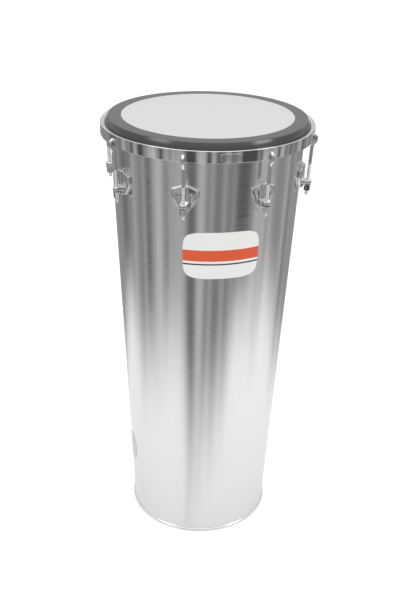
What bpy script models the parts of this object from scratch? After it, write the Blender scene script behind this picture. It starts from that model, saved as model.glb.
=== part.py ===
"""Timbal drum: a tall conical shell with one plastic head, tensioned by eight hook rods."""
import bpy
import bmesh
import numpy as np
from math import atan, cos, pi, radians, sin
from mathutils import Matrix

MM = 0.001

# Shell
HEIGHT = 850 * MM
SHELL_TOP_RADIUS = 180 * MM
SHELL_BASE_RADIUS = 140.7 * MM
WALL = 1.5 * MM
TOP_BEAD_RADIUS = 2.2 * MM
FOOT_BEAD_PROUD = 3.3 * MM
FOOT_BEAD_HEIGHT = 6.4 * MM
FOOT_FLAT_OUT = 1.9 * MM
ROUND_STEPS = 72

# Head
FILM = 0.6 * MM
HEAD_RADIUS = 182.6 * MM
COLLAR_RADIUS = 186.6 * MM
COLLAR_DROP = 10.5 * MM
SKIRT = 7.5 * MM

# Hoops
SEAT_GAP = 0.3 * MM
HOOP_RADIUS = 196.15 * MM
HOOP_HEIGHT = 21 * MM
HOOP_BAND = 2.5 * MM
FLANGE = 2.5 * MM
FLANGE_CLEARANCE = 0.7 * MM
SLOT_CLEARANCE = 0.6 * MM
CHANNEL_WALL = 1.2 * MM
CHANNEL_OUTER_WALL = 2.8 * MM
CHANNEL_FLOOR = 2.1 * MM
CHANNEL_HEIGHT = 9.2 * MM

# Tuning rods
STATIONS = 8
FIRST_AZIMUTH = radians(-11.5)
ROD_RADIUS = 3.175 * MM
ROD_STANDOFF = 15 * MM
ROD_TIP_HEIGHT = 715 * MM
HOOK_START_BELOW = 20 * MM
HOOK_BEND = 4.5 * MM
HOOK_CLEARANCE = 0.3 * MM
HOOK_TIP_INSIDE = 2.9 * MM
HOOK_HOLE_DROP = 10.5 * MM
HOOK_HOLE_CLEARANCE = 0.35 * MM

# Lugs
EAR_HEIGHT = 741 * MM
EAR_THICKNESS = 7.5 * MM
EAR_RADIUS = 7 * MM
EAR_ROOT_HALF_WIDTH = 9.5 * MM
EAR_HOLE_CLEARANCE = 0.8 * MM
SHIELD_HALF_WIDTH = 25 * MM
SHIELD_THICKNESS = 3.2 * MM
SHIELD_RIM = 0.9 * MM
SHIELD_RIM_WIDTH = 2 * MM
SHIELD_PEAK = 35 * MM
SHIELD_SHOULDER = 25 * MM
SHIELD_CHIN = 14 * MM
FLUTE_DEPTH = 0.7 * MM
RIB_WIDTH = 8 * MM
RIB_DEPTH = 7.6 * MM

# Fasteners
WASHER_RADIUS = 7 * MM
WASHER_THICKNESS = 1.8 * MM
WASHER_HOLE_CLEARANCE = 0.7 * MM
NUT_ACROSS_FLATS = 11 * MM
NUT_HEIGHT = 11 * MM
NUT_CHAMFER = 1.2 * MM
NUT_BORE_CLEARANCE = 0.4 * MM
SCREW_RADIUS = 2 * MM
SCREW_HOLE_CLEARANCE = 0.3 * MM
SCREW_HEAD_RADIUS = 4 * MM
SCREW_HEAD_HEIGHT = 2.4 * MM
SCREW_DEPTH = 4.5 * MM
SCREW_PLACES = (-8 * MM, 22 * MM)

SLOPE = (SHELL_TOP_RADIUS - SHELL_BASE_RADIUS) / HEIGHT
TILT = atan(SLOPE)


def wall_radius(z):
    """Outer radius of the conical wall at height z."""
    return SHELL_BASE_RADIUS + SLOPE * z


def make_collection(name):
    collection = bpy.data.collections.new(name)
    bpy.context.scene.collection.children.link(collection)
    return collection


def make_material(name, colour, metallic, roughness):
    material = bpy.data.materials.new(name)
    material.use_nodes = True
    shader = material.node_tree.nodes["Principled BSDF"]
    shader.inputs["Base Color"].default_value = (*colour, 1)
    shader.inputs["Metallic"].default_value = metallic
    shader.inputs["Roughness"].default_value = roughness
    return material


def add_object(name, data, collection, material=None):
    obj = bpy.data.objects.new(name, data)
    collection.objects.link(obj)
    if material is not None and not data.materials:
        data.materials.append(material)
    return obj


def turned(name, profile, collection, material=None, closed=True, steps=ROUND_STEPS):
    """Turns a profile of (radius, height) points about Z; it runs down its outer side."""
    mesh = bpy.data.meshes.new(name)
    count = len(profile)
    edges = [(i, i + 1) for i in range(count - 1)]
    if closed:
        edges.append((count - 1, 0))
    mesh.from_pydata([(r, 0, z) for r, z in profile], edges, [])
    obj = add_object(name, mesh, collection, material)
    screw = obj.modifiers.new("turn", "SCREW")
    screw.steps = steps
    screw.render_steps = steps
    screw.use_merge_vertices = True
    screw.merge_threshold = 0.00001
    return obj


def arc(centre, radius, start, end, count):
    """Points on an arc from start to end, in degrees, as (radius, height) pairs."""
    angles = np.radians(np.linspace(start, end, count))
    return [(centre[0] + radius * cos(a), centre[1] + radius * sin(a)) for a in angles]


def baked(obj):
    """The evaluated mesh of an object, welded; the object itself is removed."""
    bpy.context.view_layer.update()
    graph = bpy.context.evaluated_depsgraph_get()
    mesh = bpy.data.meshes.new_from_object(obj.evaluated_get(graph))
    mesh.transform(obj.matrix_world)
    work = bmesh.new()
    work.from_mesh(mesh)
    bmesh.ops.remove_doubles(work, verts=work.verts, dist=0.00001)
    bmesh.ops.recalc_face_normals(work, faces=work.faces)
    work.to_mesh(mesh)
    work.free()
    bpy.data.objects.remove(obj)
    return mesh


def flat_outline(name, points, thickness):
    """A filled flat outline in X and Y, extruded to the thickness."""
    curve = bpy.data.curves.new(name, "CURVE")
    curve.dimensions = "2D"
    curve.fill_mode = "BOTH"
    curve.extrude = thickness / 2
    spline = curve.splines.new("POLY")
    spline.points.add(len(points) - 1)
    for point, (x, y) in zip(spline.points, points):
        point.co = (x, y, 0, 1)
    spline.use_cyclic_u = True
    return add_object(name, curve, cutters)


def cylinder_mesh(radius, length, sides, matrix):
    """A closed cylinder about its own Z, put in place by the matrix."""
    mesh = bpy.data.meshes.new("round")
    work = bmesh.new()
    bmesh.ops.create_cone(work, cap_ends=True, segments=sides, radius1=radius,
                          radius2=radius, depth=length, matrix=matrix)
    work.to_mesh(mesh)
    work.free()
    return mesh


def join_meshes(name, meshes):
    """One mesh that holds several separate closed ones, used as a cutter."""
    joined = bpy.data.meshes.new(name)
    work = bmesh.new()
    for mesh in meshes:
        work.from_mesh(mesh)
    work.to_mesh(joined)
    work.free()
    return joined


def boolean(obj, other, operation):
    other.hide_render = True
    other.display_type = "WIRE"
    cut = obj.modifiers.new(operation.lower(), "BOOLEAN")
    cut.operation = operation
    cut.object = other
    cut.solver = "EXACT"


def station_matrix(index):
    """World matrix of a lug station: X out of the wall, Z up along it, origin on the wall."""
    azimuth = FIRST_AZIMUTH + index * 2 * pi / STATIONS
    turn = Matrix.Rotation(azimuth - pi / 2, 4, "Z")
    place = Matrix.Translation((wall_radius(EAR_HEIGHT), 0, EAR_HEIGHT))
    return turn @ place @ Matrix.Rotation(TILT, 4, "Y")


def make_station(index):
    empty = bpy.data.objects.new(f"station_{index + 1}", None)
    parts.objects.link(empty)
    empty.matrix_world = station_matrix(index)
    return empty


def screw_axis_matrix(height):
    """Matrix that lays a piece's Z along the station's outward X at a height up the wall."""
    return Matrix.Translation((0, 0, height)) @ Matrix.Rotation(pi / 2, 4, "Y")


def make_shell():
    """Conical tube with a rolled bearing edge and a rolled foot, drilled for the lug screws."""
    bead_z = HEIGHT - FILM - SEAT_GAP - TOP_BEAD_RADIUS
    bead_r = wall_radius(bead_z) - TOP_BEAD_RADIUS
    rim_z = bead_z - TOP_BEAD_RADIUS
    foot_r = wall_radius(0)
    profile = arc((bead_r, bead_z), TOP_BEAD_RADIUS, 90, 0, 4)
    profile += [(wall_radius(rim_z), rim_z)]
    profile += [(wall_radius(HEIGHT / 2), HEIGHT / 2)]
    profile += [(wall_radius(FOOT_BEAD_HEIGHT), FOOT_BEAD_HEIGHT)]
    profile += [(foot_r + FOOT_BEAD_PROUD * 0.88, FOOT_BEAD_HEIGHT * 0.8)]
    profile += [(foot_r + FOOT_BEAD_PROUD, FOOT_BEAD_HEIGHT * 0.5)]
    profile += [(foot_r + FOOT_BEAD_PROUD * 0.88, FOOT_BEAD_HEIGHT * 0.2)]
    profile += [(foot_r + FOOT_FLAT_OUT, 0), (foot_r - WALL, 0)]
    profile += [(wall_radius(HEIGHT / 2) - WALL, HEIGHT / 2)]
    profile += [(wall_radius(rim_z) - WALL, rim_z)]
    profile += arc((bead_r, bead_z), TOP_BEAD_RADIUS, 250, 130, 4)
    shell = turned("shell", profile, parts, aluminium)
    holes = []
    for index in range(STATIONS):
        for height in SCREW_PLACES:
            place = station_matrix(index) @ screw_axis_matrix(height)
            holes.append(cylinder_mesh(SCREW_RADIUS + SCREW_HOLE_CLEARANCE, 6 * WALL, 10, place))
    drill = add_object("shell_drill", join_meshes("shell_drill", holes), cutters)
    boolean(shell, drill, "DIFFERENCE")


def make_head():
    """Plastic film with its collar, and the skirt that stands in the flesh hoop's slot."""
    slot_end = HEIGHT - COLLAR_DROP - SKIRT
    edge = 0.8 * MM
    outer = [(0, HEIGHT), (HEAD_RADIUS - edge, HEIGHT), (HEAD_RADIUS, HEIGHT - edge / 2)]
    outer += [(COLLAR_RADIUS, HEIGHT - COLLAR_DROP), (COLLAR_RADIUS, slot_end)]
    inner = [(COLLAR_RADIUS - FILM, slot_end), (COLLAR_RADIUS - FILM, HEIGHT - COLLAR_DROP)]
    inner += [(HEAD_RADIUS - edge, HEIGHT - FILM), (0, HEIGHT - FILM)]
    turned("drum_head", outer + inner, parts, film, closed=False)


def flange_underside():
    return HEIGHT - COLLAR_DROP - FLANGE


def make_flesh_hoop():
    """Ring with a slot from above, which grips the skirt of the film."""
    slot_in = COLLAR_RADIUS - FILM - SLOT_CLEARANCE
    slot_out = COLLAR_RADIUS + SLOT_CLEARANCE
    top = flange_underside() - SEAT_GAP
    bottom = top - CHANNEL_HEIGHT
    floor = bottom + CHANNEL_FLOOR
    profile = [(slot_out, top), (slot_out + CHANNEL_OUTER_WALL, top)]
    profile += [(slot_out + CHANNEL_OUTER_WALL, bottom), (slot_in - CHANNEL_WALL, bottom)]
    profile += [(slot_in - CHANNEL_WALL, top), (slot_in, top), (slot_in, floor), (slot_out, floor)]
    obj = turned("flesh_hoop", profile, parts, aluminium)
    obj.parent = hoop_slide


def hook_height():
    return HEIGHT - COLLAR_DROP - HOOK_HOLE_DROP


def make_counter_hoop():
    """Angle-section ring: an upright band with a flange turned in at its top, and hook holes."""
    top = HEIGHT - COLLAR_DROP
    inner = HOOP_RADIUS - HOOP_BAND
    lip = COLLAR_RADIUS + FLANGE_CLEARANCE
    round_off = 0.7 * MM
    profile = [(lip, top), (HOOP_RADIUS - round_off, top), (HOOP_RADIUS, top - round_off)]
    profile += [(HOOP_RADIUS, top - HOOP_HEIGHT), (inner, top - HOOP_HEIGHT)]
    profile += [(inner, top - FLANGE), (lip, top - FLANGE)]
    hoop = turned("counter_hoop", profile, parts, chrome)
    hoop.parent = hoop_slide
    holes = []
    for index in range(STATIONS):
        turn = Matrix.Rotation(FIRST_AZIMUTH + index * 2 * pi / STATIONS - pi / 2, 4, "Z")
        place = turn @ Matrix.Translation((HOOP_RADIUS, 0, hook_height())) @ Matrix.Rotation(pi / 2, 4, "Y")
        holes.append(cylinder_mesh(ROD_RADIUS + HOOK_HOLE_CLEARANCE, 8 * HOOP_BAND, 12, place))
    drill = add_object("hoop_drill", join_meshes("hoop_drill", holes), cutters)
    boolean(hoop, drill, "DIFFERENCE")


def rod_axis_radius(z):
    """Radius of the straight part's axis, parallel to the wall."""
    return wall_radius(z) + ROD_STANDOFF / cos(TILT)


def hook_route():
    """Centre line of a hook rod as (radius, height): straight, an S outwards, and the hook."""
    hook_z = hook_height()
    reach = HOOP_RADIUS + HOOK_CLEARANCE + ROD_RADIUS
    start = hook_z - HOOK_BEND - HOOK_START_BELOW
    route = [(rod_axis_radius(ROD_TIP_HEIGHT), ROD_TIP_HEIGHT)]
    low = rod_axis_radius(start)
    rise = HOOK_START_BELOW * 0.8
    for share in np.linspace(0, 1, 5):
        blend = share * share * (3 - 2 * share)
        route.append((low + (reach - low) * blend, start + rise * share))
    route += arc((reach - HOOK_BEND, hook_z - HOOK_BEND), HOOK_BEND, 0, 90, 5)
    route.append((HOOP_RADIUS - HOOP_BAND - HOOK_TIP_INSIDE, hook_z))
    return route


def make_rods():
    """Eight steel hook rods; the threaded end stands through the ear, washer and nut."""
    route = hook_route()
    curve = bpy.data.curves.new("tuning_rod", "CURVE")
    curve.dimensions = "3D"
    curve.bevel_depth = ROD_RADIUS
    curve.bevel_resolution = 2
    curve.use_fill_caps = True
    spline = curve.splines.new("POLY")
    spline.points.add(len(route) - 1)
    for point, (r, z) in zip(spline.points, route):
        point.co = (r, 0, z, 1)
    mesh = baked(add_object("rod_route", curve, cutters))
    for index in range(STATIONS):
        rod = add_object(f"tuning_rod_{index + 1}", mesh, parts, chrome)
        rod.parent = hoop_slide
        rod.rotation_euler.z = FIRST_AZIMUTH + index * 2 * pi / STATIONS - pi / 2


def shield_mesh():
    """Shield plate laid round the shell, column by column, with rim and flutes on its front."""
    half = SHIELD_HALF_WIDTH
    rim = SHIELD_RIM_WIDTH
    right = [RIB_WIDTH * 0.6, half * 0.4, half * 0.58, half * 0.76, half - rim, half]
    sides = np.array([-y for y in reversed(right)] + [0] + right)
    ups = np.array([0, 0.07, 0.3, 0.55, 0.8, 0.95, 1])
    share = np.abs(sides) / half
    low = -SHIELD_CHIN + (SHIELD_SHOULDER * 0.5 + SHIELD_CHIN) * share ** 2.2
    high = SHIELD_SHOULDER + (SHIELD_PEAK - SHIELD_SHOULDER) * (1 - share) ** 1.3
    heights = low[:, None] + (high - low)[:, None] * ups[None, :]
    across = np.repeat(sides[:, None], len(ups), axis=1)
    bend = (wall_radius(EAR_HEIGHT) + heights * sin(TILT)) / cos(TILT)
    seat = np.sqrt(bend ** 2 - across ** 2) - bend + SEAT_GAP
    edge = np.zeros_like(heights, bool)
    edge[:2] = True
    edge[-2:] = True
    edge[:, :1] = True
    edge[:, -1:] = True
    flute = np.zeros(len(sides))
    flute[3:-3:2] = FLUTE_DEPTH
    front = seat + SHIELD_THICKNESS + np.where(edge, SHIELD_RIM, 0)
    front = front - np.where(edge, 0, flute[:, None] * (1 - ups)[None, :])
    columns, rows = heights.shape
    work = bmesh.new()
    grids = []
    for depth in (seat, front):
        grids.append([[work.verts.new((depth[i, j], across[i, j], heights[i, j]))
                       for j in range(rows)] for i in range(columns)])
    back, face = grids
    for i in range(columns - 1):
        for j in range(rows - 1):
            work.faces.new((face[i][j], face[i + 1][j], face[i + 1][j + 1], face[i][j + 1]))
            work.faces.new((back[i][j], back[i][j + 1], back[i + 1][j + 1], back[i + 1][j]))
    border = [(i, 0) for i in range(columns)] + [(columns - 1, j) for j in range(1, rows)]
    border += [(i, rows - 1) for i in range(columns - 2, -1, -1)] + [(0, j) for j in range(rows - 2, 0, -1)]
    for (i, j), (k, m) in zip(border, border[1:] + border[:1]):
        work.faces.new((back[i][j], back[k][m], face[k][m], face[i][j]))
    bmesh.ops.recalc_face_normals(work, faces=work.faces)
    mesh = bpy.data.meshes.new("shield")
    work.to_mesh(mesh)
    work.free()
    return mesh


def make_lug_mesh():
    """Cast lug: shield, upright rib with its gusset, and the ear that carries the rod."""
    lug = add_object("lug_blank", shield_mesh(), cutters)
    root = SHIELD_THICKNESS * 0.5
    ear_points = [(root, -EAR_ROOT_HALF_WIDTH), (SHIELD_THICKNESS + 2.5 * MM, -EAR_RADIUS)]
    ear_points += arc((ROD_STANDOFF, 0), EAR_RADIUS, -80, 80, 7)
    ear_points += [(SHIELD_THICKNESS + 2.5 * MM, EAR_RADIUS), (root, EAR_ROOT_HALF_WIDTH)]
    ear_mesh = baked(flat_outline("ear", ear_points, EAR_THICKNESS))
    ear = add_object("ear_blank", ear_mesh, cutters)
    top = SHIELD_PEAK - 2.2 * MM
    chin = -SHIELD_CHIN - 6 * MM
    rib_points = [(root, chin + 2 * MM), (SHIELD_THICKNESS, chin), (RIB_DEPTH * 0.8, chin * 0.7)]
    rib_points += [(RIB_DEPTH, -EAR_THICKNESS / 2 - 1 * MM), (RIB_DEPTH, EAR_THICKNESS)]
    rib_points += [(RIB_DEPTH * 0.85, SHIELD_SHOULDER * 0.7), (SHIELD_THICKNESS + 1 * MM, top), (root, top)]
    rib_mesh = baked(flat_outline("rib", rib_points, RIB_WIDTH))
    rib_mesh.transform(Matrix.Rotation(pi / 2, 4, "X"))
    rib = add_object("rib_blank", rib_mesh, cutters)
    boolean(lug, rib, "UNION")
    boolean(lug, ear, "UNION")
    holes = [cylinder_mesh(ROD_RADIUS + EAR_HOLE_CLEARANCE, 3 * EAR_THICKNESS, 12,
                           Matrix.Translation((ROD_STANDOFF, 0, 0)))]
    for height in SCREW_PLACES:
        depth = SCREW_DEPTH + SCREW_HOLE_CLEARANCE
        place = Matrix.Translation((0, 0, height)) @ Matrix.Rotation(pi / 2, 4, "Y")
        holes.append(cylinder_mesh(SCREW_RADIUS + SCREW_HOLE_CLEARANCE, 2 * depth, 10, place))
    drill = add_object("lug_drill", join_meshes("lug_drill", holes), cutters)
    boolean(lug, drill, "DIFFERENCE")
    mesh = baked(lug)
    for used in (rib, ear, drill):
        bpy.data.objects.remove(used)
    return mesh


def washer_top():
    return -EAR_THICKNESS / 2 - SEAT_GAP


def nut_top():
    return washer_top() - WASHER_THICKNESS - SEAT_GAP


def make_nut_mesh():
    """Hexagon nut about its bore, with the lower end turned to a chamfer."""
    corner = NUT_ACROSS_FLATS / 2 / cos(pi / 6)
    blank = cylinder_mesh(corner, NUT_HEIGHT, 6, Matrix.Translation((0, 0, -NUT_HEIGHT / 2)))
    nut = add_object("nut_blank", blank, cutters)
    bore = ROD_RADIUS + NUT_BORE_CLEARANCE
    reach = corner + 1 * MM
    top = 1 * MM
    low = -NUT_HEIGHT
    chamfer_r = NUT_ACROSS_FLATS / 2
    profile = [(bore, top), (reach, top), (reach, low + NUT_CHAMFER), (chamfer_r - 0.6 * MM, low - 0.01 * MM)]
    profile += [(bore, low - 0.01 * MM)]
    envelope = turned("nut_envelope", profile, cutters, steps=16)
    boolean(nut, envelope, "INTERSECT")
    mesh = baked(nut)
    bpy.data.objects.remove(envelope)
    return mesh


def make_washer_mesh():
    bore = ROD_RADIUS + WASHER_HOLE_CLEARANCE
    profile = [(bore, 0), (WASHER_RADIUS, 0), (WASHER_RADIUS, -WASHER_THICKNESS), (bore, -WASHER_THICKNESS)]
    return baked(turned("washer_blank", profile, cutters, steps=12))


def make_screw_mesh():
    """Pan-head screw along its own Z: head below, shank up through the wall into the lug."""
    head_top = -WALL - SEAT_GAP
    profile = [(0, SCREW_DEPTH), (SCREW_RADIUS, SCREW_DEPTH), (SCREW_RADIUS, head_top)]
    profile += [(SCREW_HEAD_RADIUS, head_top), (SCREW_HEAD_RADIUS, head_top - SCREW_HEAD_HEIGHT * 0.6)]
    profile += [(SCREW_HEAD_RADIUS * 0.6, head_top - SCREW_HEAD_HEIGHT), (0, head_top - SCREW_HEAD_HEIGHT)]
    return baked(turned("screw_blank", profile, cutters, closed=False, steps=8))


def make_stations():
    """Lug, washer, nut and two screws at each station, from shared meshes."""
    lug_mesh = make_lug_mesh()
    nut_mesh = make_nut_mesh()
    washer_mesh = make_washer_mesh()
    screw_mesh = make_screw_mesh()
    for index in range(STATIONS):
        station = make_station(index)
        number = index + 1
        add_object(f"lug_{number}", lug_mesh, parts, cast).parent = station
        washer = add_object(f"washer_{number}", washer_mesh, parts, steel)
        washer.parent = station
        washer.location = (ROD_STANDOFF, 0, washer_top())
        nut = add_object(f"tension_nut_{number}", nut_mesh, parts, chrome)
        nut.parent = station
        nut.location = (ROD_STANDOFF, 0, nut_top())
        for place, height in enumerate(SCREW_PLACES):
            screw = add_object(f"lug_screw_{2 * index + place + 1}", screw_mesh, parts, steel)
            screw.parent = station
            screw.location = (0, 0, height)
            screw.rotation_euler.y = pi / 2


for old in list(bpy.data.objects):
    bpy.data.objects.remove(old)

parts = make_collection("timbal_drum")
cutters = make_collection("cutters")
aluminium = make_material("polished_aluminium", (0.8, 0.8, 0.8), 1.0, 0.18)
film = make_material("head_film", (0.85, 0.85, 0.84), 0.0, 0.35)
chrome = make_material("chromed_steel", (0.75, 0.75, 0.76), 1.0, 0.08)
cast = make_material("cast_lug_metal", (0.72, 0.72, 0.73), 1.0, 0.16)
steel = make_material("zinc_steel", (0.7, 0.7, 0.7), 1.0, 0.25)
hoop_slide = bpy.data.objects.new("hoop_slide", None)
parts.objects.link(hoop_slide)

make_shell()
make_head()
make_flesh_hoop()
make_counter_hoop()
make_rods()
make_stations()
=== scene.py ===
"""Looks of the timbal drum: finishes, smooth turned surfaces, threads, label, light and camera."""
import bmesh
import bpy
import numpy as np
from math import atan, cos, pi, radians, sin
from mathutils import Matrix


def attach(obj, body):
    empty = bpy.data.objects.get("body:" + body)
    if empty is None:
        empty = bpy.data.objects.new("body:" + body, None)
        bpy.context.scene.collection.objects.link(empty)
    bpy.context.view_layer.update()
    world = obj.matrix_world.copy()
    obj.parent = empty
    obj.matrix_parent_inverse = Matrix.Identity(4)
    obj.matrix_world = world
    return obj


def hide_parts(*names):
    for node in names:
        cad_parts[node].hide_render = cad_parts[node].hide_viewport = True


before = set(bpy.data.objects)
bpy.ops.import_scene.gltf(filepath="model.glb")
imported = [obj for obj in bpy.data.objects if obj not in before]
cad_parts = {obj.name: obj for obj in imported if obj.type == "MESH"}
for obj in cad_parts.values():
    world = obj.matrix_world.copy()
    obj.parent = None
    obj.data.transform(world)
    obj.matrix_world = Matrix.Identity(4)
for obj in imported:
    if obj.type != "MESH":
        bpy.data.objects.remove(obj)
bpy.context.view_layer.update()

MM = 0.001
WELD = 0.001 * MM
TURN_STEPS = 288

# Shell; the wall points are heights in millimetres
HEIGHT = 850 * MM
TOP_RADIUS = 180 * MM
BASE_RADIUS = 140.7 * MM
WALL = 1.5 * MM
WALL_POINTS_OUTSIDE = (840, 600, 300, 60, 9)
WALL_POINTS_INSIDE = (9, 300, 600, 840)
BEAD_HEIGHT = 846.9 * MM
BEAD_RADIUS = 2.2 * MM
FOOT_HEIGHT = 3.2 * MM
FOOT_RADIUS = 2.7 * MM
FOOT_PROUD = 0.6 * MM
FOOT_FLAT = 0.1 * MM
NECK_HEIGHT = 7 * MM
NECK_PROUD = 0.25 * MM
SLOPE = (TOP_RADIUS - BASE_RADIUS) / HEIGHT
TILT = atan(SLOPE)

# Head; the film's radii and the collar's (radius, height) points are in millimetres
HEAD_RADIUS = 182.6 * MM
HEAD_EDGE = 1.6 * MM
FILM = 0.6 * MM
FILM_EDGE = 158 * MM
PRINT_BLUR = 0.3 * MM
FILM_RADII = (0, 60, 120, 180)
COLLAR = ((186.5, 840.5), (186.6, 832), (186, 832), (185.9, 840.2), (181.8, 849.4))

# Hoop
HOOP_RADIUS = 196.15 * MM
HOOP_TOP = 839.5 * MM
HOOP_HEIGHT = 21 * MM
HOOP_SHEET = 2.5 * MM
HOOP_LIP_RADIUS = 187.3 * MM
HOOP_ROUNDING = 1 * MM
LIP_CHAMFER = 0.5 * MM

# Tuning rods
STATIONS = 8
FIRST_AZIMUTH = radians(-11.5)
ROD_RADIUS = 3.175 * MM
ROD_SIDES = 24
ROD_STANDOFF = 15 * MM
ROD_TIP_HEIGHT = 715 * MM
STRAIGHT_POINTS = 330
HOOK_DROP = 10.5 * MM
HOOK_BEND = 4.5 * MM
HOOK_CLEARANCE = 0.3 * MM
HOOK_TIP_INSIDE = 5.4 * MM
SWAN_LENGTH = 20 * MM
SWAN_RISE = 16 * MM
SWAN_FIRST_SHARE = 0.08
SWAN_POINTS = 14
HOOK_POINTS = 12
THREAD_PITCH = 1.27 * MM
THREAD_DEPTH = 0.35 * MM
THREAD_TOP = 774 * MM

# Lugs; the ear's side is (out, half width) in millimetres
EAR_HEIGHT = 741 * MM
EAR_MIDDLE = 0.7 * ROD_STANDOFF
EAR_RADIUS = 7 * MM
EAR_HALF_THICKNESS = 3.75 * MM
EAR_ROUNDING = 0.2
EAR_FULLNESS = 0.6
EAR_SIDE = ((2, 9.5), (6, 7.6), (10, 7))
SEAT_GAP = 0.3 * MM
SHIELD_COLUMNS = 97
SHIELD_ROWS = 81
SHIELD_HALF_WIDTH = 25 * MM
SHIELD_THICKNESS = 3.2 * MM
SHIELD_CHIN = 14 * MM
SHIELD_SIDE_RISE = 26.5 * MM
SHIELD_SIDE_CURVE = 2.2
SHIELD_SHOULDER = 25 * MM
SHIELD_PEAK_RISE = 10 * MM
SHIELD_PEAK_CURVE = 1.3
RIM_HEIGHT = 0.9 * MM
RIM_INSET = 1.3 * MM
RIM_HALF_WIDTH = 0.8 * MM
FIELD_INSET = 3 * MM
FLUTE_DEPTH = 0.8 * MM
FLUTE_CENTRE_DEPTH = 30 * MM
FLUTE_RATE = 34
BOSS_HEIGHT = 4.2 * MM
BOSS_HALF_WIDTH = 4.5 * MM
EDGE_DROP = 1.3 * MM
EDGE_SOFTNESS = 0.5 * MM

# Plates, each as azimuth, height, half sizes, thickness and squareness of the outline
PLATE_GAP = 0.05 * MM
PLATE_SIDES = 240
PLATE_RINGS = 24
PLATE_FLAT_SHARE = 0.985
LABEL = (radians(10.5), 642 * MM, (70 * MM, 45 * MM), 0.25 * MM, 5)
HOOP_PLATE = (radians(11.7), 828.5 * MM, (18 * MM, 6.5 * MM), 0.6 * MM, 6)
BADGE = (radians(-72), 148 * MM, (22 * MM, 34 * MM), 0.4 * MM, 2)

# Grain and bump shared by the finishes
GRAIN_DETAIL = 6
GRAIN_LOW = 0.3
GRAIN_HIGH = 0.7
BUMP_DISTANCE = 0.2 * MM

# Floor; the tongue, the unevenness and the range of the painted dark reflection, which glossy rays alone
# see on it, are in metres
FLOOR_HALF = 9
FLOOR_COLOUR = (0.9, 0.9, 0.9)
FLOOR_GLOW = 0.22
FLOOR_TONGUE = 0.42
FLOOR_TONGUE_POWER = 24
FLOOR_UNEVENNESS = 1.5
FLOOR_PAINTED_REFLECTION_RANGE = (-0.25, 0.55)

# Lamps as name, place, size in metres and watts
LAMPS = (
    ("left", (-2.2, -1.6, 2.2), 1.2, 9),
    ("right", (2.4, -1.2, 2.0), 1.0, 9),
    ("above", (0, 0.3, 3.2), 2.2, 14),
)
LAMP_AIM_HEIGHT = 0.5

# Camera, as fitted to the photograph
CAMERA_PLACE = (0, -1.58954, 1.26078)
CAMERA_PITCH = radians(26.3986)
CAMERA_ROLL = radians(1.37303)
CAMERA_YAW = radians(-0.19977)
CAMERA_LENS = 52.895
CAMERA_SENSOR = 36


def wall_radius(z):
    """Outer radius of the conical wall at height z."""
    return BASE_RADIUS + SLOPE * z


def hoop_radius(z):
    """Outer radius of the hoop's band, the same at every height."""
    return HOOP_RADIUS + 0 * z


def station_turn(index):
    """Turns +X to a lug station; azimuths count from -Y towards +X."""
    return Matrix.Rotation(FIRST_AZIMUTH + index * 2 * pi / STATIONS - pi / 2, 4, "Z")


def station_matrix(index):
    """X out of the wall, Z up along it, origin on the wall at the ear's height."""
    place = Matrix.Translation((wall_radius(EAR_HEIGHT), 0, EAR_HEIGHT))
    return station_turn(index) @ place @ Matrix.Rotation(TILT, 4, "Y")


def arc(centre, radius, start, end, count=9):
    """Points on an arc about a centre, from start to end in degrees."""
    angle = np.radians(np.linspace(start, end, count))
    return [(centre[0] + radius * np.cos(a), centre[1] + radius * np.sin(a)) for a in angle]


def grid_mesh(name, points, wrap_rows=False, wrap_columns=False, uv=None):
    """A mesh from an array of points (rows, columns, 3), joined to its ends where it wraps."""
    rows, columns = points.shape[:2]
    index = np.arange(rows * columns).reshape(rows, columns)
    here = index if wrap_rows else index[:-1]
    below = np.roll(index, -1, 0) if wrap_rows else index[1:]
    if wrap_columns:
        quads = np.stack([here, below, np.roll(below, -1, 1), np.roll(here, -1, 1)], -1)
    else:
        quads = np.stack([here[:, :-1], below[:, :-1], below[:, 1:], here[:, 1:]], -1)
    mesh = bpy.data.meshes.new(name)
    mesh.from_pydata(points.reshape(-1, 3), [], quads.reshape(-1, 4).tolist())
    if uv is not None:
        layer = mesh.uv_layers.new(name="UVMap")
        corner = np.empty(len(mesh.loops), np.int32)
        mesh.loops.foreach_get("vertex_index", corner)
        layer.data.foreach_set("uv", uv.reshape(-1, 2)[corner].astype(np.float32).ravel())
    mesh.shade_smooth()
    return mesh


def closed_mesh(name, *sheets):
    """One mesh from several sheets, welded where they meet, with its faces pointing out."""
    work = bmesh.new()
    for sheet in sheets:
        work.from_mesh(sheet)
    bmesh.ops.remove_doubles(work, verts=work.verts, dist=WELD)
    bmesh.ops.recalc_face_normals(work, faces=work.faces)
    mesh = bpy.data.meshes.new(name)
    work.to_mesh(mesh)
    work.free()
    return mesh


def turned_mesh(name, profile, closed=True):
    """A profile of (radius, height) carried round Z: x = r sin a, y = -r cos a, z = height."""
    profile = np.array(profile)
    angle = np.linspace(0, 2 * pi, TURN_STEPS, endpoint=False)
    radius = profile[:, 0][:, None]
    height = np.broadcast_to(profile[:, 1][:, None], (len(profile), TURN_STEPS))
    points = np.stack([radius * np.sin(angle), -radius * np.cos(angle), height], -1)
    return closed_mesh(name, grid_mesh(name, points, wrap_rows=closed, wrap_columns=True))


def add_piece(name, mesh, finish, body, replaced=()):
    """Adds a finished piece that rides on a body and stands for the nodes that it replaces."""
    obj = bpy.data.objects.new(name, mesh)
    bpy.context.scene.collection.objects.link(obj)
    mesh.materials.append(finish)
    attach(obj, body)
    if replaced:
        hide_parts(*replaced)


def add_node(tree, kind, inputs=None, **settings):
    """A shader node with its settings, then the values of its unlinked inputs."""
    made = tree.nodes.new("ShaderNode" + kind)
    for key, value in settings.items():
        setattr(made, key, value)
    for key, value in (inputs or {}).items():
        made.inputs[key].default_value = value
    return made


def link_nodes(tree, *links):
    """Links each (source, output, target, input)."""
    for source, output, target, entry in links:
        tree.links.new(source.outputs[output], target.inputs[entry])


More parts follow.
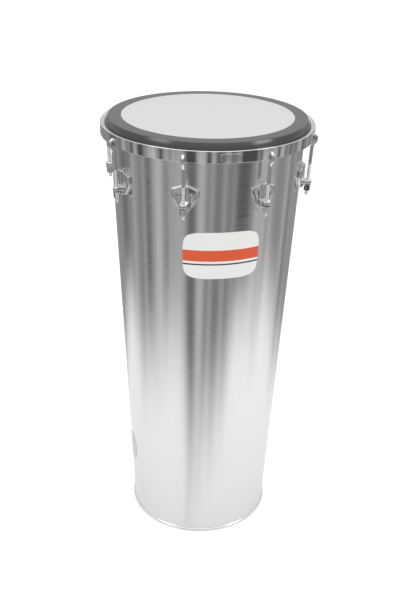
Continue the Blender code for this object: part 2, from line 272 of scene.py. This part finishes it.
def set_stops(ramp, *stops):
    """Gives a colour ramp these stops, as (place, colour), in rising order."""
    elements = ramp.color_ramp.elements
    elements.remove(elements[-1])
    for number, (place, colour) in enumerate(stops):
        stop = elements.new(place) if number else elements[0]
        stop.position = place
        stop.color = (*colour, 1)


def make_finish(name, colour, metallic, roughness):
    """A material with its node tree and its Principled shader."""
    finish = bpy.data.materials.new(name)
    finish.use_nodes = True
    shader = finish.node_tree.nodes["Principled BSDF"]
    shader.inputs["Base Color"].default_value = (*colour, 1)
    shader.inputs["Metallic"].default_value = metallic
    shader.inputs["Roughness"].default_value = roughness
    return finish, finish.node_tree, shader


def add_grain(tree, shader, scale, low, high, bump):
    """Roughness between low and high, and a fine bump, from noise stretched on Object coordinates."""
    coords = add_node(tree, "TexCoord")
    mapping = add_node(tree, "Mapping", {"Scale": scale})
    noise = add_node(tree, "TexNoise", {"Scale": 1, "Detail": GRAIN_DETAIL})
    ends = {"From Min": GRAIN_LOW, "From Max": GRAIN_HIGH, "To Min": low, "To Max": high}
    spread = add_node(tree, "MapRange", ends)
    relief = add_node(tree, "Bump", {"Strength": bump, "Distance": BUMP_DISTANCE})
    link_nodes(
        tree,
        (coords, "Object", mapping, "Vector"),
        (mapping, "Vector", noise, "Vector"),
        (noise, "Fac", spread, "Value"),
        (spread, "Result", shader, "Roughness"),
        (noise, "Fac", relief, "Height"),
        (relief, "Normal", shader, "Normal"),
    )


def shell_finish():
    """Polished aluminium with the fine rings that the polishing wheel leaves round it."""
    finish, tree, shader = make_finish("polished_shell", (0.83, 0.83, 0.83), 1, 0.2)
    add_grain(tree, shader, (6, 6, 900), 0.14, 0.26, 0.12)
    return finish


def plated_finish(name, tone, low, high):
    """Plated metal of one tone, with faint cloudiness in its gloss."""
    finish, tree, shader = make_finish(name, (tone, tone, tone), 1, low)
    add_grain(tree, shader, (160, 160, 160), low, high, 0.04)
    return finish


def head_finish():
    """White film that turns to a gloss black border beyond its printed ring, by the radius."""
    finish, tree, shader = make_finish("film_and_border", (0.8, 0.8, 0.79), 0, 0.3)
    shader.inputs["IOR"].default_value = 1.85
    add_grain(tree, shader, (700, 700, 700), 0.16, 0.24, 0.05)
    coords = add_node(tree, "TexCoord")
    flat = add_node(tree, "VectorMath", {1: (1, 1, 0)}, operation="MULTIPLY")
    radius = add_node(tree, "VectorMath", operation="LENGTH")
    ends = {"From Min": FILM_EDGE - PRINT_BLUR, "From Max": FILM_EDGE + PRINT_BLUR}
    border = add_node(tree, "MapRange", ends)
    tones = {"A": (0.6, 0.615, 0.635, 1), "B": (0.02, 0.019, 0.02, 1)}
    mix = add_node(tree, "Mix", tones, data_type="RGBA")
    link_nodes(
        tree,
        (coords, "Object", flat, 0),
        (flat, 0, radius, 0),
        (radius, "Value", border, "Value"),
        (border, "Result", mix, "Factor"),
        (mix, "Result", shader, "Base Color"),
    )
    return finish


def label_finish():
    """Plain sticker: white ground, an orange band across it and a dark rule under the band."""
    white, dark, orange = (0.85, 0.85, 0.84), (0.03, 0.03, 0.03), (0.75, 0.1, 0.03)
    finish, tree, shader = make_finish("plain_label", white, 0, 0.35)
    add_grain(tree, shader, (500, 500, 500), 0.3, 0.4, 0.03)
    uv = add_node(tree, "UVMap")
    split = add_node(tree, "SeparateXYZ")
    ramp = add_node(tree, "ValToRGB")
    ramp.color_ramp.interpolation = "CONSTANT"
    set_stops(ramp, (0, white), (0.3, dark), (0.33, white), (0.38, orange), (0.62, white))
    link_nodes(
        tree,
        (uv, "UV", split, 0),
        (split, "Y", ramp, "Fac"),
        (ramp, "Color", shader, "Base Color"),
    )
    return finish


def badge_finish():
    """Plain grey-white enamel."""
    finish, tree, shader = make_finish("badge_enamel", (0.6, 0.6, 0.6), 0, 0.3)
    add_grain(tree, shader, (400, 400, 400), 0.25, 0.35, 0.03)
    return finish


def make_shell():
    """Cone with a rolled bearing edge and a rolled foot, in one closed profile."""
    bead = (wall_radius(BEAD_HEIGHT) - BEAD_RADIUS, BEAD_HEIGHT)
    foot = (BASE_RADIUS + FOOT_PROUD, FOOT_HEIGHT)
    profile = arc(bead, BEAD_RADIUS, 90, 0)
    profile += [(wall_radius(z * MM), z * MM) for z in WALL_POINTS_OUTSIDE]
    profile += [(wall_radius(NECK_HEIGHT) + NECK_PROUD, NECK_HEIGHT)]
    profile += arc(foot, FOOT_RADIUS, 60, -70, 11)
    profile += [(BASE_RADIUS + FOOT_FLAT, 0), (BASE_RADIUS - WALL, 0)]
    profile += [(wall_radius(z * MM) - WALL, z * MM) for z in WALL_POINTS_INSIDE]
    profile += arc(bead, BEAD_RADIUS, 240, 130, 5)
    mesh = turned_mesh("shell_skin", profile)
    add_piece("shell_skin", mesh, shell_finish(), "drum", ["shell"])


def make_head():
    """Film with a rounded edge, a collar that slopes out, and the skirt in the hoop."""
    profile = [(radius * MM, HEIGHT) for radius in FILM_RADII]
    profile += arc((HEAD_RADIUS - HEAD_EDGE, HEIGHT - HEAD_EDGE), HEAD_EDGE, 80, 15, 6)
    profile += [(radius * MM, height * MM) for radius, height in COLLAR]
    profile += [(0, HEIGHT - FILM)]
    mesh = turned_mesh("head_skin", profile, closed=False)
    add_piece("head_skin", mesh, head_finish(), "drum", ["drum_head"])


def make_hoop(chrome):
    """Angle-section ring with softened outer corners."""
    low = HOOP_TOP - HOOP_HEIGHT
    inner = HOOP_RADIUS - HOOP_SHEET
    underside = HOOP_TOP - HOOP_SHEET
    outer = HOOP_RADIUS - HOOP_ROUNDING
    profile = [(HOOP_LIP_RADIUS + LIP_CHAMFER, HOOP_TOP)]
    profile += arc((outer, HOOP_TOP - HOOP_ROUNDING), HOOP_ROUNDING, 90, 0)
    profile += arc((outer, low + HOOP_ROUNDING), HOOP_ROUNDING, 0, -90)
    profile += [(inner, low), (inner, underside), (HOOP_LIP_RADIUS, underside)]
    profile += [(HOOP_LIP_RADIUS, HOOP_TOP - LIP_CHAMFER)]
    mesh = turned_mesh("hoop_skin", profile)
    add_piece("hoop_skin", mesh, chrome, "hoop", ["counter_hoop"])


def rod_route():
    """Centre line as (x, z): straight up the wall, a swan neck to the band, and the hook."""
    hook_z = HOOP_TOP - HOOK_DROP
    reach = HOOP_RADIUS + HOOK_CLEARANCE + ROD_RADIUS
    start = hook_z - HOOK_BEND - SWAN_LENGTH
    offset = ROD_STANDOFF / cos(TILT)
    low = wall_radius(start) + offset
    route = [(wall_radius(z) + offset, z) for z in np.linspace(ROD_TIP_HEIGHT, start, STRAIGHT_POINTS)]
    for share in np.linspace(SWAN_FIRST_SHARE, 1, SWAN_POINTS):
        blend = share * share * (3 - 2 * share)
        route.append((low + (reach - low) * blend, start + SWAN_RISE * share))
    route += arc((reach - HOOK_BEND, hook_z - HOOK_BEND), HOOK_BEND, 0, 90, HOOK_POINTS)
    route.append((HOOP_RADIUS - HOOK_TIP_INSIDE, hook_z))
    return np.array(route)


def thread_radius(z, angle):
    """Rod radius less depth * (0.5 + 0.5 sin(2 pi z / pitch + angle)), below the plain part."""
    wave = 0.5 + 0.5 * np.sin(2 * pi * z / THREAD_PITCH + angle)
    cut = np.where(z < THREAD_TOP, THREAD_DEPTH, 0)
    return ROD_RADIUS - cut * wave


def rod_mesh(name, route):
    """Circles carried along the route, square to it, with a pole at each end that closes it."""
    along = np.gradient(route, axis=0)
    along /= np.linalg.norm(along, axis=1)[:, None]
    angle = np.linspace(0, 2 * pi, ROD_SIDES, endpoint=False)
    radius = thread_radius(route[:, 1][:, None], angle[None, :])
    x = route[:, 0][:, None] + along[:, 1][:, None] * radius * np.cos(angle)
    z = route[:, 1][:, None] - along[:, 0][:, None] * radius * np.cos(angle)
    rings = np.stack([x, radius * np.sin(angle), z], -1)
    ends = np.stack([route[[0, -1], 0], [0, 0], route[[0, -1], 1]], -1)
    poles = np.repeat(ends[:, None, :], ROD_SIDES, axis=1)
    rings = np.concatenate([poles[:1], rings, poles[1:]])
    return closed_mesh(name, grid_mesh(name, rings, wrap_columns=True))


def make_rods(chrome):
    """Eight hook rods with their threads."""
    route = rod_route()
    for index in range(STATIONS):
        name = f"rod_skin_{index + 1}"
        mesh = rod_mesh(name, route)
        mesh.transform(station_turn(index))
        add_piece(name, mesh, chrome, "hoop", [f"tuning_rod_{index + 1}"])


def shield_sheets():
    """Front and back of the shield as grids of (out, across, up).

    The outline runs from a chin curve to a peaked top. The front is the shell's curve plus the
    thickness, a flat-topped bump for the rim, cosine flutes that fan out below, a flat-topped
    boss up the middle, and an exponential fall at the edge.
    """
    side = np.linspace(-1, 1, SHIELD_COLUMNS)[:, None]
    up = np.linspace(0, 1, SHIELD_ROWS)[None, :]
    share = np.abs(side)
    low = SHIELD_SIDE_RISE * share ** SHIELD_SIDE_CURVE - SHIELD_CHIN
    high = SHIELD_SHOULDER + SHIELD_PEAK_RISE * (1 - share) ** SHIELD_PEAK_CURVE
    y = side * SHIELD_HALF_WIDTH + 0 * up
    z = low + (high - low) * up
    to_end = np.minimum(z - low, high - z)
    inside = np.minimum((1 - share) * SHIELD_HALF_WIDTH + 0 * up, to_end)
    rim = RIM_HEIGHT * np.exp(-((inside - RIM_INSET) / RIM_HALF_WIDTH) ** 4)
    fan = np.arctan2(y, z + FLUTE_CENTRE_DEPTH)
    fade = np.clip(inside / FIELD_INSET - 1, 0, 1) * np.clip(1.3 - up * 1.6, 0, 1)
    flutes = FLUTE_DEPTH * np.cos(fan * FLUTE_RATE) * fade
    boss = BOSS_HEIGHT * np.exp(-(y / BOSS_HALF_WIDTH) ** 4) * np.clip(inside / FIELD_INSET, 0, 1)
    edge = EDGE_DROP * np.exp(-inside / EDGE_SOFTNESS)
    bend = wall_radius(EAR_HEIGHT) + z * sin(TILT)
    seat = np.sqrt(bend ** 2 - y ** 2) - bend + SEAT_GAP
    depth = SHIELD_THICKNESS + rim + flutes + boss - edge
    return np.stack([seat + depth, y, z], -1), np.stack([seat, y, z], -1)


def border(sheet):
    """The points round a grid's edge, in order."""
    return np.concatenate([sheet[:, 0], sheet[-1, 1:], sheet[-2::-1, -1], sheet[0, -2:0:-1]])


def shield_mesh(name):
    """Front and back of the shield, joined by a strip round the edge."""
    front, back = shield_sheets()
    strip = np.stack([border(front), border(back)])
    sheets = [grid_mesh(name, front), grid_mesh(name, back), grid_mesh(name, strip, wrap_columns=True)]
    return closed_mesh(name, *sheets)


def ear_mesh(name):
    """Plan outline of the ear, shrunk towards its top and bottom by a cosine, closed by poles."""
    plan = [(x * MM, -y * MM) for x, y in EAR_SIDE]
    plan += arc((ROD_STANDOFF, 0), EAR_RADIUS, -85, 85, 17)
    plan += [(x * MM, y * MM) for x, y in reversed(EAR_SIDE)]
    plan = np.array(plan)
    angle = np.radians(np.linspace(-90, 90, 11))
    shrink = 1 - EAR_ROUNDING * (1 - np.cos(angle))
    height = EAR_HALF_THICKNESS * np.sign(angle) * np.abs(np.sin(angle)) ** EAR_FULLNESS
    shrink = np.concatenate([[0], shrink, [0]])[:, None]
    height = np.concatenate([height[:1], height, height[-1:]])[:, None]
    x = EAR_MIDDLE + (plan[:, 0] - EAR_MIDDLE) * shrink
    y = plan[:, 1] * shrink
    return closed_mesh(name, grid_mesh(name, np.stack([x, y, height + 0 * x], -1), wrap_columns=True))


def make_lugs(plate):
    """Each lug is its shield with the boss, and the ear, as one piece."""
    for index in range(STATIONS):
        name = f"lug_skin_{index + 1}"
        mesh = closed_mesh(name, shield_mesh(name), ear_mesh(name))
        mesh.transform(station_matrix(index))
        add_piece(name, mesh, plate, "drum", [f"lug_{index + 1}"])


def plate_mesh(name, place, radius_at):
    """A thin plate laid round the drum, with UV over its box.

    Its outline is the superellipse |u|^n + |v|^n = 1; rings of it run out from the middle of the
    front, over the edge and back in behind.
    """
    azimuth, height, half, thickness, power = place
    ring = np.linspace(0, 2 * pi, PLATE_SIDES, endpoint=False)[None, :]
    edge = (np.abs(np.cos(ring)) ** power + np.abs(np.sin(ring)) ** power) ** (-1 / power)
    rise = np.linspace(0, PLATE_FLAT_SHARE, PLATE_RINGS)
    share = np.concatenate([rise, [1, 1], rise[::-1]])[:, None]
    front = np.ones(PLATE_RINGS)
    lift = np.concatenate([front, [0.6, 0], 0 * front])[:, None] * thickness
    u = share * edge * np.cos(ring)
    v = share * edge * np.sin(ring)
    z = height + v * half[1]
    radius = radius_at(z) + PLATE_GAP + lift
    angle = azimuth + u * half[0] / radius_at(height)
    points = np.stack([radius * np.sin(angle), -radius * np.cos(angle), z], -1)
    uv = np.stack([u * 0.5 + 0.5, v * 0.5 + 0.5], -1)
    return closed_mesh(name, grid_mesh(name, points, wrap_columns=True, uv=uv))


def make_plates(plate):
    """Plain label on the shell, bare plate on the hoop and a plain badge near the foot."""
    label = plate_mesh("front_label", LABEL, wall_radius)
    add_piece("front_label", label, label_finish(), "drum")
    hoop = plate_mesh("hoop_plate", HOOP_PLATE, hoop_radius)
    add_piece("hoop_plate", hoop, plate, "hoop")
    badge = plate_mesh("low_badge", BADGE, wall_radius)
    add_piece("low_badge", badge, badge_finish(), "drum")


def dress_nodes(chrome, plate):
    """Better metals on the CAD nodes that stay: nuts and flesh hoop, washers and screws."""
    for name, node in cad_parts.items():
        if name.startswith(("tension_nut", "flesh_hoop")):
            metal = chrome
        elif name.startswith(("washer", "lug_screw")):
            metal = plate
        else:
            continue
        for item in node.material_slots:
            item.material = metal


def floor_with_painted_reflection():
    """Pale floor with a painted reflection: what gloss shows of it darkens with distance, which paints the
    shell's dark upper part.

    The painted dark share is a smooth step of: distance, plus a tongue towards -Y and +Y, less a noise
    over the direction. The painted dark reflection's tone varies with the direction too.
    """
    finish, tree, shader = make_finish("pale_floor_painted_reflection", FLOOR_COLOUR, 0, 0.8)
    shader.inputs["Emission Color"].default_value = (1, 1, 1, 1)
    coords = add_node(tree, "TexCoord")
    distance = add_node(tree, "VectorMath", operation="LENGTH")
    direction = add_node(tree, "VectorMath", operation="NORMALIZE")
    split = add_node(tree, "SeparateXYZ")
    facing = add_node(tree, "Math", operation="ABSOLUTE")
    narrow = add_node(tree, "Math", {1: FLOOR_TONGUE_POWER}, operation="POWER")
    tongue = add_node(tree, "Math", {1: FLOOR_TONGUE}, operation="MULTIPLY_ADD")
    uneven = add_node(tree, "TexNoise", {"Scale": 1.7, "Detail": 1})
    reach = add_node(tree, "Math", {1: -FLOOR_UNEVENNESS}, operation="MULTIPLY_ADD")
    ends = {"From Min": FLOOR_PAINTED_REFLECTION_RANGE[0], "From Max": FLOOR_PAINTED_REFLECTION_RANGE[1]}
    edge = add_node(tree, "MapRange", ends, interpolation_type="SMOOTHSTEP")
    # Painted reflection: glossy rays alone see the floor darken, while the camera sees it pale
    path = add_node(tree, "LightPath")
    painted_reflection_share = add_node(tree, "Math", operation="MULTIPLY")
    painted_reflection_bands = add_node(tree, "TexNoise", {"Scale": 6, "Detail": 2})
    tones = add_node(tree, "ValToRGB")
    set_stops(tones, (0.38, (0.03, 0.028, 0.026)), (0.66, (0.5, 0.51, 0.52)))
    mix = add_node(tree, "Mix", {"A": (*FLOOR_COLOUR, 1)}, data_type="RGBA")
    to_camera = add_node(tree, "Math", {1: FLOOR_GLOW}, operation="MULTIPLY")
    link_nodes(
        tree,
        (coords, "Object", distance, 0),
        (coords, "Object", direction, 0),
        (direction, 0, split, 0),
        (split, "Y", facing, 0),
        (facing, "Value", narrow, 0),
        (narrow, "Value", tongue, 0),
        (distance, "Value", tongue, 2),
        (direction, 0, uneven, "Vector"),
        (uneven, "Fac", reach, 0),
        (tongue, "Value", reach, 2),
        (reach, "Value", edge, "Value"),
        (edge, "Result", painted_reflection_share, 0),
        (path, "Is Glossy Ray", painted_reflection_share, 1),
        (direction, 0, painted_reflection_bands, "Vector"),
        (painted_reflection_bands, "Fac", tones, "Fac"),
        (painted_reflection_share, "Value", mix, "Factor"),
        (tones, "Color", mix, "B"),
        (mix, "Result", shader, "Base Color"),
        (path, "Is Camera Ray", to_camera, 0),
        (to_camera, "Value", shader, "Emission Strength"),
    )
    return finish


def make_floor():
    """One flat square under the drum."""
    half = FLOOR_HALF
    corners = np.array([[(-half, -half, 0), (-half, half, 0)], [(half, -half, 0), (half, half, 0)]], float)
    mesh = grid_mesh("floor", corners)
    mesh.materials.append(floor_with_painted_reflection())
    floor = bpy.data.objects.new("floor", mesh)
    bpy.context.scene.collection.objects.link(floor)


def plain(tone):
    """A neutral grey."""
    return (tone, tone, tone)


def warm(tone):
    """A grey that leans a little to yellow."""
    return (tone, tone * 0.985, tone * 0.97)


def make_world():
    """Soft studio by height of the view: dimmer just above the horizon; white to the camera."""
    world = bpy.data.worlds.new("studio")
    bpy.context.scene.world = world
    world.use_nodes = True
    tree = world.node_tree
    coords = add_node(tree, "TexCoord")
    split = add_node(tree, "SeparateXYZ")
    spread = add_node(tree, "MapRange", {"From Min": -1})
    ramp = add_node(tree, "ValToRGB")
    stops = [(0, plain(0.85)), (0.5, warm(0.7)), (0.56, warm(0.55))]
    stops += [(0.68, warm(0.8)), (0.85, warm(1.0)), (1, plain(1.1))]
    set_stops(ramp, *stops)
    path = add_node(tree, "LightPath")
    mix = add_node(tree, "Mix", {"B": (1, 1, 1, 1)}, data_type="RGBA")
    link_nodes(
        tree,
        (coords, "Generated", split, 0),
        (split, "Z", spread, "Value"),
        (spread, "Result", ramp, "Fac"),
        (ramp, "Color", mix, "A"),
        (path, "Is Camera Ray", mix, "Factor"),
        (mix, "Result", tree.nodes["Background"], "Color"),
    )


def make_lamps():
    """Three soft lamps, aimed at a point on the drum's axis."""
    for name, place, size, power in LAMPS:
        lamp = bpy.data.lights.new(name, "AREA")
        lamp.energy = power
        lamp.size = size
        light = bpy.data.objects.new(name, lamp)
        light.location = place
        aim = light.location.copy()
        aim.z -= LAMP_AIM_HEIGHT
        light.rotation_euler = aim.to_track_quat("Z", "Y").to_euler()
        bpy.context.scene.collection.objects.link(light)


def make_camera():
    """The camera that was fitted to the photograph: place, lens, pitch, roll and yaw."""
    camera = bpy.data.cameras.new("camera")
    camera.sensor_width = CAMERA_SENSOR
    camera.lens = CAMERA_LENS
    ahead = cos(CAMERA_PITCH)
    forward = np.array([sin(CAMERA_YAW) * ahead, cos(CAMERA_YAW) * ahead, -sin(CAMERA_PITCH)])
    right = np.array([cos(CAMERA_YAW), -sin(CAMERA_YAW), 0])
    upward = np.cross(right, forward)
    across = cos(CAMERA_ROLL) * right + sin(CAMERA_ROLL) * upward
    over = -sin(CAMERA_ROLL) * right + cos(CAMERA_ROLL) * upward
    matrix = Matrix(np.stack([across, over, -forward], 1).tolist()).to_4x4()
    matrix.translation = CAMERA_PLACE
    obj = bpy.data.objects.new("camera", camera)
    obj.matrix_world = matrix
    bpy.context.scene.collection.objects.link(obj)
    bpy.context.scene.camera = obj


bright = plated_finish("bright_chrome", 0.78, 0.06, 0.1)
plated = plated_finish("plated_casting", 0.75, 0.12, 0.2)
make_camera()
make_shell()
make_head()
make_hoop(bright)
make_rods(bright)
make_lugs(plated)
make_plates(plated)
dress_nodes(bright, plated)
make_floor()
make_world()
make_lamps()
bpy.context.scene.view_settings.view_transform = "Standard"
bpy.context.view_layer.update()
